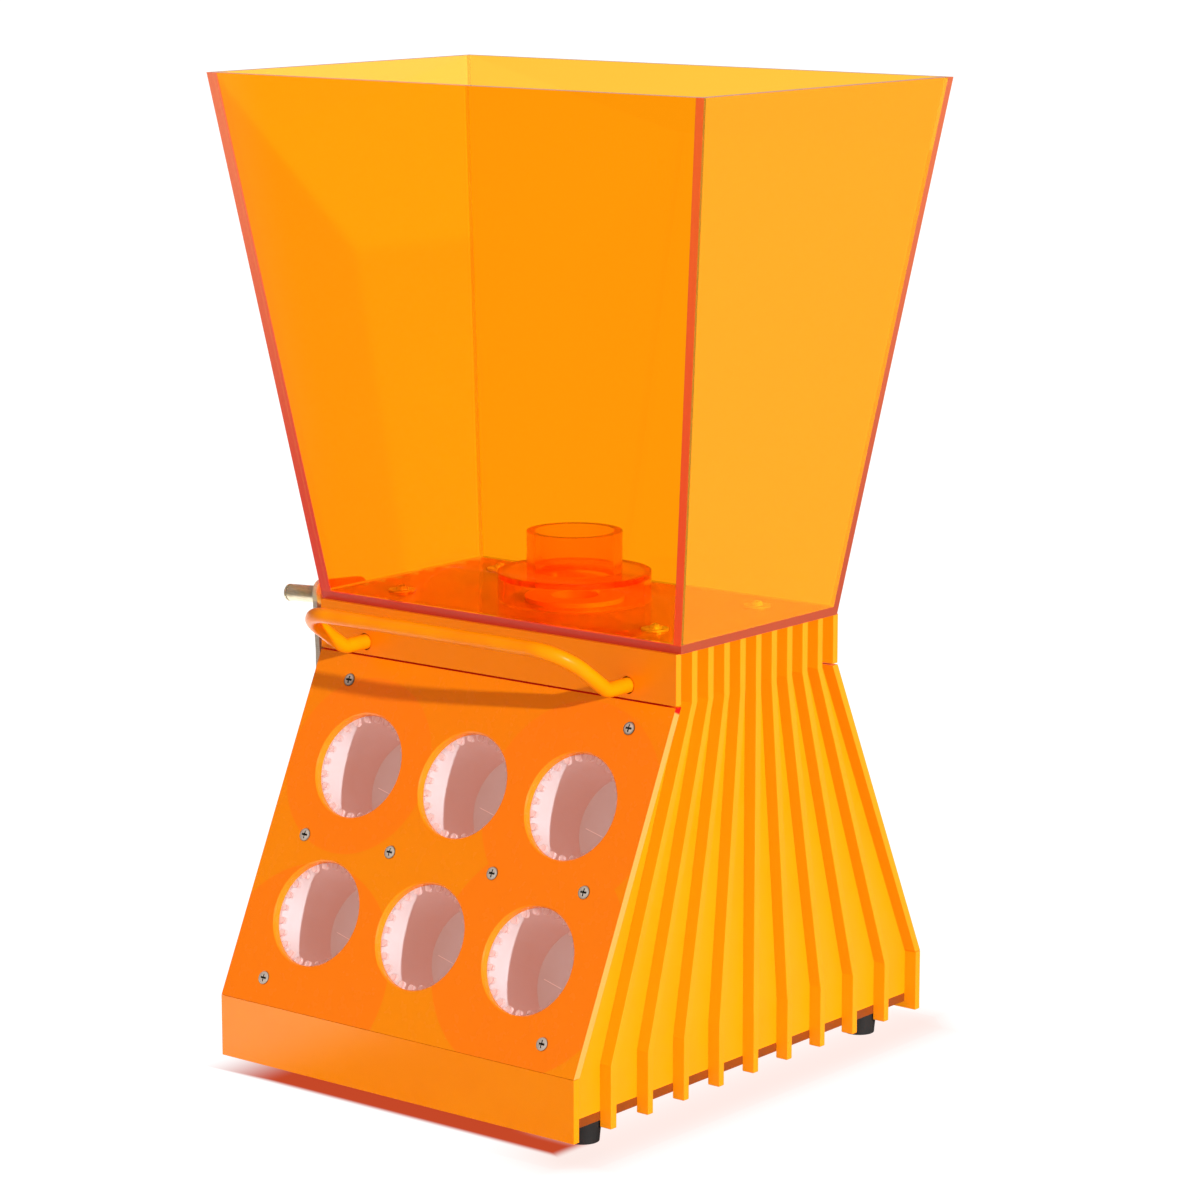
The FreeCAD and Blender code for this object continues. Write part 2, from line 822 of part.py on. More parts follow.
# The plate's upper part, its pin and the grip lean outward from this line.
crank_lean_frame = Placement(
    Vector(0, 0, 0),
    Rotation(Vector(0, 1, 0), -crank_lean),
    Vector(crank_inner_x, 0, crank_height + crank_bend),
)


def leaned(shape):
    return placed(shape, crank_lean_frame)


def crank_blank():
    front = crank_y - crank_front
    rear = crank_y + crank_rear
    low = crank_height - crank_drop
    high = crank_height + crank_rise
    corners = [(front, low), (front, high), (rear, high - crank_fall), (rear, low)]
    plate = side_plate(corners, crank_outer_x, crank_inner_x)
    short_edges = []
    for edge in plate.Edges:
        ends = [vertex.Point for vertex in edge.Vertexes]
        if abs(abs(ends[0].x - ends[1].x) - crank_plate_thickness) < 1e-6:
            short_edges.append(edge)
    return plate.makeFillet(crank_corner, short_edges)


def crank_plate():
    blank = crank_blank()
    bend = crank_height + crank_bend
    size = crank_rise + crank_drop
    above = box(crank_outer_x, crank_inner_x, crank_y - size, crank_y + size, bend, bend + size)
    pin_hole = along_x(grip_y, grip_z, crank_outer_x, crank_inner_x, grip_pin_radius)
    upper = leaned(blank.common(above).cut(pin_hole))
    lower = blank.cut(above)
    shaft_hole = along_x(crank_y, crank_height, crank_outer_x, crank_inner_x, crank_shaft_radius)
    return lower.cut(shaft_hole).fuse(upper).removeSplitter()


def crank_shaft():
    outer = crank_outer_x - crank_nut_height - crank_thread
    return along_x(crank_y, crank_height, outer, bearing_plate_end + shaft_end, crank_shaft_radius)


def crank_nut():
    corner = crank_nut_flats / math.sqrt(3)
    points = []
    for i in range(6):
        angle = math.radians(60 * i)
        points.append((crank_y + corner * math.cos(angle), crank_height + corner * math.sin(angle)))
    nut = side_plate(points, crank_outer_x - crank_nut_height, crank_outer_x)
    hole = along_x(crank_y, crank_height, crank_outer_x - crank_nut_height, crank_outer_x,
                   crank_shaft_radius)
    return nut.cut(hole)


def crank_bush():
    """Flanged bush in the left side panel; its outer end keeps the crank off the fins."""
    outer_x = crank_inner_x + bush_end_play
    sleeve = along_x(crank_y, crank_height, outer_x, bush_flange_x, bush_radius)
    flange = along_x(crank_y, crank_height, -side_inner, bush_flange_x, bush_flange_radius)
    bore = along_x(crank_y, crank_height, outer_x, bush_flange_x, crank_shaft_radius + running_fit)
    return sleeve.fuse(flange).cut(bore).removeSplitter()


def crank_pin():
    pin = along_x(grip_y, grip_z, grip_cap_x, crank_inner_x, grip_pin_radius)
    cap = along_x(grip_y, grip_z, grip_cap_x - grip_cap_thickness, grip_cap_x, grip_radius)
    rim = [edge for edge in cap.Edges
           if edge.Curve.TypeId == "Part::GeomCircle" and abs(edge.CenterOfMass.x - grip_cap_x) > 0.5]
    cap = cap.makeChamfer(grip_cap_thickness / 2, rim)
    return leaned(pin.fuse(cap).removeSplitter())


def crank_grip():
    sleeve = along_x(grip_y, grip_z, grip_end_x, grip_start_x, grip_radius)
    bore = along_x(grip_y, grip_z, grip_end_x, grip_start_x, grip_pin_radius + running_fit)
    return leaned(sleeve.cut(bore))


# ---------------------------------------------------------------- gears

def involute_angle(radius, base):
    ratio = min(base / radius, 1.0)
    pressure = math.acos(ratio)
    return math.tan(pressure) - pressure


def gear_outline(turn):
    """Closed outline of an involute gear; turn shifts the teeth, in degrees."""
    base = gear_pitch_radius * math.cos(math.radians(gear_pressure_angle))
    tip = gear_pitch_radius + gear_module
    root = gear_pitch_radius - 1.25 * gear_module
    start = max(base, root)
    half_tooth = (math.pi * gear_module / 2 - gear_backlash) / 2 / gear_pitch_radius
    flank_zero = half_tooth + involute_angle(gear_pitch_radius, base)
    flank = []
    for i in range(gear_flank_points):
        radius = start + (tip - start) * i / (gear_flank_points - 1)
        flank.append((radius, flank_zero - involute_angle(radius, base)))
    points = []
    for tooth in range(gear_teeth):
        middle = 2 * math.pi * tooth / gear_teeth + math.radians(turn)
        polar = [(root, middle - flank[0][1])]
        polar += [(radius, middle - offset) for radius, offset in flank]
        polar += [(radius, middle + offset) for radius, offset in reversed(flank)]
        polar.append((root, middle + flank[0][1]))
        points += [(radius * math.cos(angle), radius * math.sin(angle)) for radius, angle in polar]
    return points


def gear(axis_y, turn, bore):
    outline = [(axis_y + y, crank_height + z) for y, z in gear_outline(turn)]
    blank = side_plate(outline, gear_outer_x, gear_inner_x)
    return blank.cut(along_x(axis_y, crank_height, gear_outer_x, gear_inner_x, bore))


def drive_gear():
    return gear(crank_y, 0, crank_shaft_radius)


def drum_gear():
    return gear(0, 180 / gear_teeth, crank_shaft_radius)


def bearing_plate():
    """Plate under the deck that carries the inner ends of both shafts."""
    low = crank_height - bearing_plate_margin
    plate = box(bearing_plate_x, bearing_plate_end, crank_y - bearing_plate_margin,
                bearing_plate_margin, low, deck_bottom)
    bore = crank_shaft_radius + running_fit
    holes = [along_x(y, crank_height, bearing_plate_x, bearing_plate_end, bore) for y in (crank_y, 0)]
    return cut_all(plate, holes)


# ---------------------------------------------------------------- measuring drum

def measuring_drum():
    drum = along_x(0, crank_height, -drum_half_length, drum_half_length, drum_radius)
    pocket_end = drum_half_length - pocket_end_wall
    pocket = box(-pocket_end, pocket_end, -pocket_half_width, pocket_half_width,
                 crank_height + pocket_floor, crank_height + drum_radius)
    bore = along_x(0, crank_height, -drum_half_length, drum_half_length, crank_shaft_radius)
    return cut_all(drum, [pocket, bore])


def drum_shaft():
    return along_x(0, crank_height, gear_outer_x, housing_end_x + shaft_end, crank_shaft_radius)


def housing_screw_places():
    x = housing_half_length - housing_screw_inset
    y = housing_half_depth - housing_screw_inset
    return [(sx * x, sy * y) for sx in (-1, 1) for sy in (-1, 1)]


def drum_housing():
    block = box(-housing_half_length, housing_half_length, -housing_half_depth, housing_half_depth,
                housing_bottom, deck_bottom)
    bore = along_x(0, crank_height, -housing_half_length, housing_half_length, drum_radius + drum_play)
    up = Vector(0, 0, 1)
    socket = cylinder(spigot_radius, Vector(0, 0, seal_base), up, deck_bottom - seal_base)
    inlet = cylinder(spigot_radius - spigot_wall, Vector(0, 0, crank_height), up,
                     seal_base - crank_height)
    pocket_end = drum_half_length - pocket_end_wall
    outlet = box(-pocket_end, pocket_end, -outlet_half_width, outlet_half_width,
                 housing_bottom, crank_height)
    return cut_all(block, [bore, socket, inlet, outlet])


def housing_cap(sign):
    x0, x1 = sorted((sign * housing_half_length, sign * housing_end_x))
    cap = box(x0, x1, -housing_half_depth, housing_half_depth, housing_bottom, deck_bottom)
    return cap.cut(along_x(0, crank_height, x0, x1, crank_shaft_radius + running_fit))


def outlet_trough():
    outer = box(-housing_half_length, housing_half_length, -trough_half_depth, trough_half_depth,
                trough_bottom, housing_bottom)
    end = housing_half_length - trough_wall
    side = trough_half_depth - trough_wall
    inner = box(-end, end, -side, side, trough_bottom + trough_wall, housing_bottom)
    mouth = along_x(spout_y, spout_start_z, -housing_half_length, -end, spout_radius)
    return cut_all(outer, [inner, mouth])


def spout_pipe():
    level_x = -housing_half_length - spout_level_run
    exit_x = -side_inner + spout_bend
    points = [
        Vector(-housing_half_length + trough_wall, spout_y, spout_start_z),
        Vector(level_x, spout_y, spout_start_z),
        Vector(exit_x, spout_y, spout_exit_height),
        Vector(-spout_drop_x, spout_y, spout_exit_height),
        Vector(-spout_drop_x, spout_y, spout_exit_height - spout_drop),
    ]
    path = rounded_path(points, [spout_bend] * 3)
    return swept_rod(path, spout_radius).cut(swept_rod(path, spout_radius - spout_wall))


# ---------------------------------------------------------------- assembly

def assembly():
    parts = {
        "hopper_floor": hopper_floor(),
        "hopper_front": hopper_front(),
        "hopper_back": hopper_back(),
        "hopper_left": hopper_side(-1),
        "hopper_right": hopper_side(1),
        "hopper_washers": hopper_washers(),
        "hopper_screws": hopper_screws(),
        "seat_skirt": seat_skirt(),
        "seat_neck": seat_neck(),
        "seat_spigot": seat_spigot(),
        "spigot_seal": spigot_seal(),
        "front_collar": front_collar(),
        "front_panel": front_panel(),
        "front_plinth": plinth_sheet(-half_foot, plinth_inner_front),
        "rear_collar": collar_sheet(half_collar, collar_inner_rear),
        "rear_panel": rear_panel(),
        "rear_plinth": plinth_sheet(half_foot, plinth_inner_rear),
        "side_panel_left": side_panel_left(),
        "side_panel_right": side_panel(1),
        "side_fins_left": side_fins(-1),
        "side_fins_right": side_fins(1),
        "deck_plate": deck_plate(),
        "frame_rails": frame_rails(),
        "base_plate": base_plate(),
        "rubber_feet": rubber_feet(),
        "foot_screws": foot_screws(),
        "front_screws": front_screws(),
        "rear_screws": rear_screws(),
        "rear_battens": rear_battens(),
        "well_carrier": well_carrier(),
        "carry_handle": carry_handle(),
        "handle_rings": handle_rings(),
        "crank_plate": crank_plate(),
        "crank_shaft": crank_shaft(),
        "crank_nut": crank_nut(),
        "crank_bush": crank_bush(),
        "crank_pin": crank_pin(),
        "crank_grip": crank_grip(),
        "drive_gear": drive_gear(),
        "drum_gear": drum_gear(),
        "bearing_plate": bearing_plate(),
        "measuring_drum": measuring_drum(),
        "drum_shaft": drum_shaft(),
        "drum_housing": drum_housing(),
        "housing_cap_left": housing_cap(-1),
        "housing_cap_right": housing_cap(1),
        "outlet_trough": outlet_trough(),
        "spout_pipe": spout_pipe(),
    }
    for number, (x, s) in enumerate(well_places(), 1):
        parts["well_cup_%d" % number] = well_cup(x, s)
        parts["well_ring_%d" % number] = well_ring(x, s)
    return parts


os.makedirs("parts", exist_ok=True)
for name, shape in assembly().items():
    shape.exportStep("parts/%s.step" % name)
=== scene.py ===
import json
import math

import bpy
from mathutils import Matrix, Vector


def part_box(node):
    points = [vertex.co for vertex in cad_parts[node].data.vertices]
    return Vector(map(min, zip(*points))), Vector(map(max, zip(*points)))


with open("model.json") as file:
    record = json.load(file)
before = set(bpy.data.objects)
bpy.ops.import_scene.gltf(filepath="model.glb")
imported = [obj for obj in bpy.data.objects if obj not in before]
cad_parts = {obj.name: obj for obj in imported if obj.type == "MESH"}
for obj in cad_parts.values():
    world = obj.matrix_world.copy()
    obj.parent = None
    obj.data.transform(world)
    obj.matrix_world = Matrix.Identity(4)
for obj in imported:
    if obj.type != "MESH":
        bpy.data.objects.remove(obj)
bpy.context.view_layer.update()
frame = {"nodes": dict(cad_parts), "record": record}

# Looks of the shot dispenser: materials, edge rounding, studio and camera. Every CAD node stays
# and gets a procedural material. Metres, in the part's frame: +X right, -Y front, +Z up.

MM = 0.001

# ---------------------------------------------------------------- sizes read from the frame

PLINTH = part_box("front_plinth")
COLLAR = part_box("front_collar")
HALF_WIDTH = PLINTH[1].x
HALF_FOOT = -PLINTH[0].y
HOPPER_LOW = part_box("hopper_floor")[0].z
HOPPER_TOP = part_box("hopper_back")[1].z
FLOOR_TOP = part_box("hopper_floor")[1].z
SLOPE_FOOT = Vector((0, PLINTH[0].y, PLINTH[1].z))
SLOPE_HEAD = Vector((0, COLLAR[0].y, COLLAR[0].z))
SLOPE_UP = (SLOPE_HEAD - SLOPE_FOOT).normalized()
SLOPE_IN = Vector((0, SLOPE_UP.z, -SLOPE_UP.y))
SLOPE_LENGTH = (SLOPE_HEAD - SLOPE_FOOT).length
WELLS = range(1, 7)


def well_centre(number):
    """Middle of a well's ring, as (x, distance up the slope)."""
    low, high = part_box("well_ring_%d" % number)
    middle = (low + high) / 2
    return middle.x, (middle - SLOPE_FOOT).dot(SLOPE_UP)


# ---------------------------------------------------------------- node helpers

def linear(red, green, blue):
    """Linear colour of an 8-bit display colour."""
    def channel(value):
        value /= 255
        return value / 12.92 if value <= 0.04045 else ((value + 0.055) / 1.055) ** 2.4
    return channel(red), channel(green), channel(blue), 1.0


class Nodes:
    """A material's or world's node tree with short calls for the nodes used here."""

    def __init__(self, owner, output="ShaderNodeOutputMaterial"):
        owner.use_nodes = True
        self.owner = owner
        self.tree = owner.node_tree
        self.tree.nodes.clear()
        self.output = self.tree.nodes.new(output)

    def add(self, kind, **inputs):
        node = self.tree.nodes.new(kind)
        for name, value in inputs.items():
            self.feed(node.inputs[name.replace("_", " ")], value)
        return node

    def feed(self, socket, value):
        if isinstance(value, bpy.types.NodeSocket):
            self.tree.links.new(value, socket)
        else:
            socket.default_value = value

    def place(self):
        return self.add("ShaderNodeTexCoord").outputs["Object"]

    def xyz(self, vector):
        return self.add("ShaderNodeSeparateXYZ", Vector=vector).outputs

    def math(self, operation, first, second=0.0, clamp=False):
        node = self.tree.nodes.new("ShaderNodeMath")
        node.operation = operation
        node.use_clamp = clamp
        self.feed(node.inputs[0], first)
        self.feed(node.inputs[1], second)
        return node.outputs[0]

    def along(self, vector, direction):
        """Dot product of a vector socket with a fixed direction."""
        node = self.tree.nodes.new("ShaderNodeVectorMath")
        node.operation = "DOT_PRODUCT"
        self.feed(node.inputs[0], vector)
        node.inputs[1].default_value = direction
        return node.outputs["Value"]

    def ramp(self, value, low, high, to_low=0.0, to_high=1.0):
        """value mapped from low..high to to_low..to_high, smooth and clamped."""
        node = self.tree.nodes.new("ShaderNodeMapRange")
        node.interpolation_type = "SMOOTHSTEP"
        self.feed(node.inputs["Value"], value)
        node.inputs["From Min"].default_value = low
        node.inputs["From Max"].default_value = high
        node.inputs["To Min"].default_value = to_low
        node.inputs["To Max"].default_value = to_high
        return node.outputs["Result"]

    def noise(self, size, detail=3.0, vector=None):
        """Noise from 0 to 1 whose features are about size metres."""
        node = self.tree.nodes.new("ShaderNodeTexNoise")
        node.inputs["Scale"].default_value = 1 / size
        node.inputs["Detail"].default_value = detail
        self.feed(node.inputs["Vector"], vector or self.place())
        return node.outputs["Fac"]

    def mix(self, share, first, second):
        node = self.tree.nodes.new("ShaderNodeMix")
        node.data_type = "RGBA"
        self.feed(node.inputs["Factor"], share)
        self.feed(node.inputs["A"], first)
        self.feed(node.inputs["B"], second)
        return node.outputs["Result"]

    def bump(self, height, distance):
        node = self.add("ShaderNodeBump", Height=height)
        node.inputs["Distance"].default_value = distance
        return node.outputs["Normal"]

    def outward(self):
        """The normal that points out of the solid, also for rays inside it."""
        geometry = self.add("ShaderNodeNewGeometry").outputs
        side = self.math("SUBTRACT", 1.0, self.math("MULTIPLY", geometry["Backfacing"], 2.0))
        node = self.tree.nodes.new("ShaderNodeVectorMath")
        node.operation = "SCALE"
        self.feed(node.inputs[0], geometry["True Normal"])
        self.feed(node.inputs["Scale"], side)
        return node.outputs["Vector"]

    def facing(self, direction, low=0.6, high=0.9, either_way=False):
        """Smooth step from low to high of how squarely the surface faces a direction."""
        share = self.along(self.outward(), direction)
        if either_way:
            share = self.math("ABSOLUTE", share)
        return self.ramp(share, low, high)

    def clouds(self, size, detail=3.0):
        """Soft patches from 0 to 1."""
        return self.ramp(self.noise(size, detail), 0.35, 0.7)

    def uneven(self, size, low, high):
        """Soft patches from low to high, for roughness."""
        return self.ramp(self.noise(size), 0.3, 0.7, low, high)

    def principled(self, **inputs):
        return self.add("ShaderNodeBsdfPrincipled", **inputs)

    def blend(self, share, first, second):
        node = self.add("ShaderNodeMixShader", Fac=share)
        self.feed(node.inputs[1], first)
        self.feed(node.inputs[2], second)
        return node.outputs[0]

    def let_light_through(self, shader, share):
        """The shader with a share of the lamps' light passing straight on."""
        shadow = self.add("ShaderNodeLightPath").outputs["Is Shadow Ray"]
        clear = self.add("ShaderNodeBsdfTransparent").outputs[0]
        return self.blend(self.math("MULTIPLY", shadow, share), shader, clear)

    def show(self, shader):
        self.feed(self.output.inputs["Surface"], shader)
        return self.owner


def new_material(name):
    return Nodes(bpy.data.materials.new(name))


# ---------------------------------------------------------------- colours

FRONT_ORANGE = linear(243, 131, 0)
FRONT_SHADE = linear(240, 127, 0)
PLINTH_ORANGE = linear(252, 145, 0)
PLINTH_SHADE = linear(250, 139, 0)
# Painted edge glow: a paler orange on the front sheets' faces that turn to the right.
FRONT_EDGE_GLOW = linear(255, 150, 8)
PANEL_LOW = linear(247, 141, 0)
PANEL_HIGH = linear(247, 132, 0)
PANEL_RED = linear(252, 125, 8)
# Painted edge glow: a pale colour on the sloping panel's right cut edge.
PANEL_EDGE_GLOW = linear(214, 164, 78)
HOLE_ORANGE = linear(255, 142, 22)
# Painted shade and glow in the seam: deep red on the panel's top cut edge, which also glows there.
SEAM_SHADE_AND_GLOW = linear(190, 10, 4)
SIDE_YELLOW = linear(255, 153, 0)
SIDE_SHADE = linear(255, 147, 0)
# Painted light: a paler yellow for faces turned to the front or back.
FLANK_PAINTED_LIGHT = linear(255, 163, 0)
ACRYLIC_TINT = (1.0, 0.806, 0.0, 1.0)
WALL_HAZE = linear(255, 216, 60)
SEAT_HAZE = linear(240, 122, 66)
FLOOR_HAZE = linear(206, 150, 80)
# Painted shade in the recesses of the panel's screws.
RECESS_SHADE = linear(58, 48, 34)
# Painted edge glow of the acrylic's sawn edges, by height, place and the way an edge faces; the
# lowest glow colour is also the saw streaks' colour.
EDGE_LOW_GLOW_AND_STREAK = linear(218, 52, 20)
EDGE_GLOW_HIGH = linear(255, 140, 94)
CORNER_GLOW_LOW = linear(248, 74, 0)
CORNER_GLOW_HIGH = linear(255, 108, 8)
FLOOR_EDGE_GLOW = linear(193, 58, 35)
# Painted: deeper colours for sawn edges that face the key light.
LIT_EDGE_LOW = linear(164, 74, 42)
LIT_EDGE_HIGH = linear(194, 104, 62)
RIM_GLOW = linear(255, 206, 180)
# Painted shade on the base plate's edge.
BASE_EDGE_SHADE = linear(140, 66, 14)
CUP_WHITE = linear(189, 197, 203)
CUP_SHADE = linear(186, 191, 195)
# Painted glow of the toothed rings.
RING_GLOW = (0.063, 0.023, 0.015, 1.0)
CUP_WALL_GLOW = (0.26, 0.06, 0.03, 1.0)     # painted glow that stands in for orange light soaking through the thin plastic
CUP_FLOOR_GLOW = (0.235, 0.11, 0.085, 1.0)
RING_WHITE = linear(238, 222, 220)
TOOTH_LINE = linear(216, 166, 162)
ENAMEL = linear(255, 150, 0)
ENAMEL_SHADE = linear(253, 142, 0)
WHITE_PLASTIC = linear(232, 230, 224), linear(222, 220, 214)
CRANK_STEEL = linear(206, 194, 168), linear(184, 172, 144)
PLATE_STEEL = linear(202, 200, 182), linear(186, 183, 165)
SCREW_STEEL = linear(214, 208, 198), linear(190, 184, 172)
PANEL_SCREW_STEEL = linear(222, 214, 202), linear(198, 190, 176)
RUBBER = linear(22, 20, 20), linear(38, 34, 32)

# ---------------------------------------------------------------- materials

SATIN_GLOSS = 0.3           # specular level
ENAMEL_GLOSS = 0.12
FRONT_ROUGHNESS = 0.25
SIDE_ROUGHNESS = (0.38, 0.47)
CLOUD_SHARE = 0.6
HALFTONE_PITCH = 1.0 * MM
BETWEEN_DOTS = 0.72         # strength of a disc between its dots
DISC_SOFT = 0.4 * MM
# Discs of the panel's print by the well they stand behind: radius, and drop down the slope.
DISCS = {1: (40 * MM, 0.0), 3: (46 * MM, 0.0), 4: (50 * MM, 28 * MM), 6: (50 * MM, 0.0)}
PANEL_BLEND = (20 * MM, 150 * MM)       # up the slope, from the low colour to the high one
BLEND_WAVER = 12 * MM
SEAM_GLOW = 0.3             # strength of the painted glow that stands in for light leaving the panel's cut edge in the seam
STREAK_SHARE = 0.3          # of a sawn edge
LONG_GRAIN = (4 * MM, 0.4 * MM, 0.4 * MM)
ROUND_GRAIN = (0.4 * MM,) * 3
MARK_START = (-21.1 * MM, -2.8 * MM)    # mould mark on a cup's floor, from the cup's middle
MARK_END = (-9.7 * MM, -5.4 * MM)
MARK_WIDTH = 0.3 * MM
MARK_FADE = 1 * MM
RING_HALF = 1.0 * MM        # half a ring's thickness
RING_CLEAR = 0.68           # share of light that the rings let through
RING_LETS_KEY_THROUGH = 0.8
RING_IOR = 1.2
TOOTH_LINE_DEPTH = 0.45 * MM
ACRYLIC_IOR = 1.49
HOPPER_LEAN = 0.1515        # how far a side wall leans out per metre of height
GLUE_LINE = 1.8 * MM        # width of the matt strip beside the front sheet's left edge
WALL_DENSITY = 680.0        # absorption of each piece of acrylic, per metre
LEFT_DENSITY = 500.0
FLOOR_DENSITY = 195.0
SEAT_DENSITY = 400.0
BASE_DENSITY = 500.0
UP = (0, 0, 1)


def satin(n, base, roughness):
    """Satin finish over a base colour: roughness is its lowest and highest value."""
    shader = n.principled(
        Base_Color=base,
        Roughness=n.uneven(6 * MM, *roughness),
        Normal=n.bump(n.noise(0.9 * MM, 2.0), 0.008 * MM),
        Specular_IOR_Level=SATIN_GLOSS,
    )
    return n.show(shader.outputs["BSDF"])


def faint_clouds(n, colour, shade):
    share = n.math("MULTIPLY", n.clouds(35 * MM, 4.0), CLOUD_SHARE)
    return n.mix(share, colour, shade)


def satin_plastic(name, colour, shade, roughness, edge=None):
    """Opaque plastic with faint clouds between colour and shade; edge tints faces to the right
    with a painted edge glow.
    """
    n = new_material(name)
    base = faint_clouds(n, colour, shade)
    if edge:
        base = n.mix(n.facing((1, 0, 0)), base, edge)
    return satin(n, base, (roughness - 0.015, roughness + 0.02))


def side_plastic():
    """Yellow side plastic whose faces turned to the front or back, such as the fins' flanks, take
    a paler yellow: painted light that lifts their shade.
    """
    n = new_material("side_yellow")
    flank = n.facing((0, 1, 0), 0.5, 0.8, either_way=True)
    # painted light on faces turned to the front or back
    base = n.mix(flank, faint_clouds(n, SIDE_YELLOW, SIDE_SHADE), FLANK_PAINTED_LIGHT)
    return satin(n, base, SIDE_ROUGHNESS)


def panel_print():
    """The sloping front panel: orange with faint redder discs of fine dots, and own cut edges,
    with a painted glow on the right one and painted shade and glow in the seam.
    """
    n = new_material("panel_print")
    x, slope, inwards = slope_place(n)

    def disc(centre_x, centre_s, radius):
        dx = n.math("SUBTRACT", x, centre_x)
        ds = n.math("SUBTRACT", slope, centre_s)
        square = n.math("ADD", n.math("MULTIPLY", dx, dx), n.math("MULTIPLY", ds, ds))
        return n.ramp(n.math("SQRT", square), radius + DISC_SOFT, radius - DISC_SOFT)

    discs = 0.0
    for number, (radius, drop) in DISCS.items():
        centre_x, centre_s = well_centre(number)
        discs = n.math("MAXIMUM", discs, disc(centre_x, centre_s - drop, radius))

    def wave(value):
        return n.math("SINE", n.math("MULTIPLY", value, 2 * math.pi / HALFTONE_PITCH))

    dots = n.math("MULTIPLY", wave(n.math("ADD", x, slope)), wave(n.math("SUBTRACT", x, slope)))
    tint = n.math("MULTIPLY", discs, n.ramp(dots, -0.6, 0.6, BETWEEN_DOTS, 1.0))
    waver = n.ramp(n.noise(50 * MM), 0.35, 0.7, -BLEND_WAVER, BLEND_WAVER)
    height = n.ramp(n.math("ADD", slope, waver), *PANEL_BLEND)
    face = n.mix(tint, n.mix(height, PANEL_LOW, PANEL_HIGH), PANEL_RED)
    # painted edge glow on the panel's right cut edge
    on_rim = n.ramp(x, HALF_WIDTH - 2 * MM, HALF_WIDTH - 1 * MM)
    cut_face = n.mix(on_rim, HOLE_ORANGE, PANEL_EDGE_GLOW)
    # painted shade and glow in the seam under the collar: the top cut edge turns deep red and
    # emits
    at_head = n.ramp(slope, SLOPE_LENGTH - 3 * MM, SLOPE_LENGTH - 2 * MM)
    cut_face = n.mix(at_head, cut_face, SEAM_SHADE_AND_GLOW)
    is_cut = n.facing(SLOPE_IN, 0.85, 0.6, either_way=True)
    in_seam = n.math("MULTIPLY", at_head, is_cut)
    shader = n.principled(
        Base_Color=n.mix(is_cut, face, cut_face),
        Roughness=n.uneven(5 * MM, 0.24, 0.28),
        Normal=n.bump(n.noise(0.8 * MM, 2.0), 0.006 * MM),
        Specular_IOR_Level=SATIN_GLOSS,
        Emission_Strength=n.math("MULTIPLY", in_seam, SEAM_GLOW),
    )
    shader.inputs["Emission Color"].default_value = SEAM_SHADE_AND_GLOW
    return n.show(shader.outputs["BSDF"])


def sawn_edge(n):
    """Matt cut edge of tinted acrylic with painted edge glow: salmon at the rim, deeper red
    towards the floor, and other colours by the way it faces.
    """
    x, y, z = n.xyz(n.place())
    height = n.ramp(z, HOPPER_LOW, HOPPER_TOP)
    # painted edge glow by height, then by place and facing
    colour = n.mix(height, EDGE_LOW_GLOW_AND_STREAK, EDGE_GLOW_HIGH)
    right_front = n.math("MULTIPLY", n.ramp(x, 0.0, 50 * MM), n.facing((0, -1, 0)))
    colour = n.mix(right_front, colour, n.mix(height, CORNER_GLOW_LOW, CORNER_GLOW_HIGH))
    colour = n.mix(n.ramp(z, FLOOR_TOP, FLOOR_TOP - 1 * MM), colour, FLOOR_EDGE_GLOW)
    colour = n.mix(n.facing((1, 0, 0)), colour, n.mix(height, LIT_EDGE_LOW, LIT_EDGE_HIGH))
    colour = n.mix(n.facing(UP), colour, RIM_GLOW)
    streaks = n.noise(1.2 * MM)
    colour = n.mix(n.math("MULTIPLY", streaks, STREAK_SHARE), colour, EDGE_LOW_GLOW_AND_STREAK)
    shader = n.principled(
        # painted shade on edges below the hopper, the base plate's
        Base_Color=n.mix(n.ramp(z, HOPPER_LOW, HOPPER_LOW - 5 * MM), colour, BASE_EDGE_SHADE),
        Roughness=0.4,
        Normal=n.bump(streaks, 0.02 * MM),
    )
    return shader.outputs["BSDF"]


def front_glue_line(n):
    """Strip of the front sheet's face along its left edge, as matt as the cut edge beside it."""
    x, y, z = n.xyz(n.place())
    low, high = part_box("hopper_front")
    lean = n.math("MULTIPLY", n.math("SUBTRACT", high.z, z), HOPPER_LEAN)
    from_edge = n.math("SUBTRACT", n.math("SUBTRACT", x, low.x), lean)
    strip = n.ramp(from_edge, GLUE_LINE + 0.2 * MM, GLUE_LINE)
    return n.math("MULTIPLY", strip, n.facing((0, -1, 0), 0.6, 0.8))


def acrylic(name, density, sawn, haze=None, share=0.0, glue_line=None):
    """Clear tinted sheet that takes its colour from its thickness.

    sawn lists the outward directions of its matt cut edges, the rest being polished or glued, and
    glue_line adds a matt strip of a face. haze is the colour of the share of light that the
    sheet scatters.
    """
    n = new_material(name)
    clear = n.principled(Roughness=n.uneven(40 * MM, 0.0, 0.02), IOR=ACRYLIC_IOR)
    clear.inputs["Base Color"].default_value = (1, 1, 1, 1)
    clear.inputs["Transmission Weight"].default_value = 1.0
    surface = clear.outputs["BSDF"]
    if haze:
        scattered = n.add("ShaderNodeBsdfDiffuse", Color=haze).outputs[0]
        surface = n.blend(share, surface, scattered)
    if sawn:
        edge = 0.0
        for direction in sawn:
            edge = n.math("MAXIMUM", edge, n.facing(direction, 0.6, 0.8))
        if glue_line:
            edge = n.math("MAXIMUM", edge, glue_line(n))
        surface = n.blend(edge, surface, sawn_edge(n))
    volume = n.add("ShaderNodeVolumeAbsorption", Color=ACRYLIC_TINT)
    volume.inputs["Density"].default_value = density
    n.feed(n.output.inputs["Volume"], volume.outputs[0])
    return n.show(n.let_light_through(surface, 1.0))


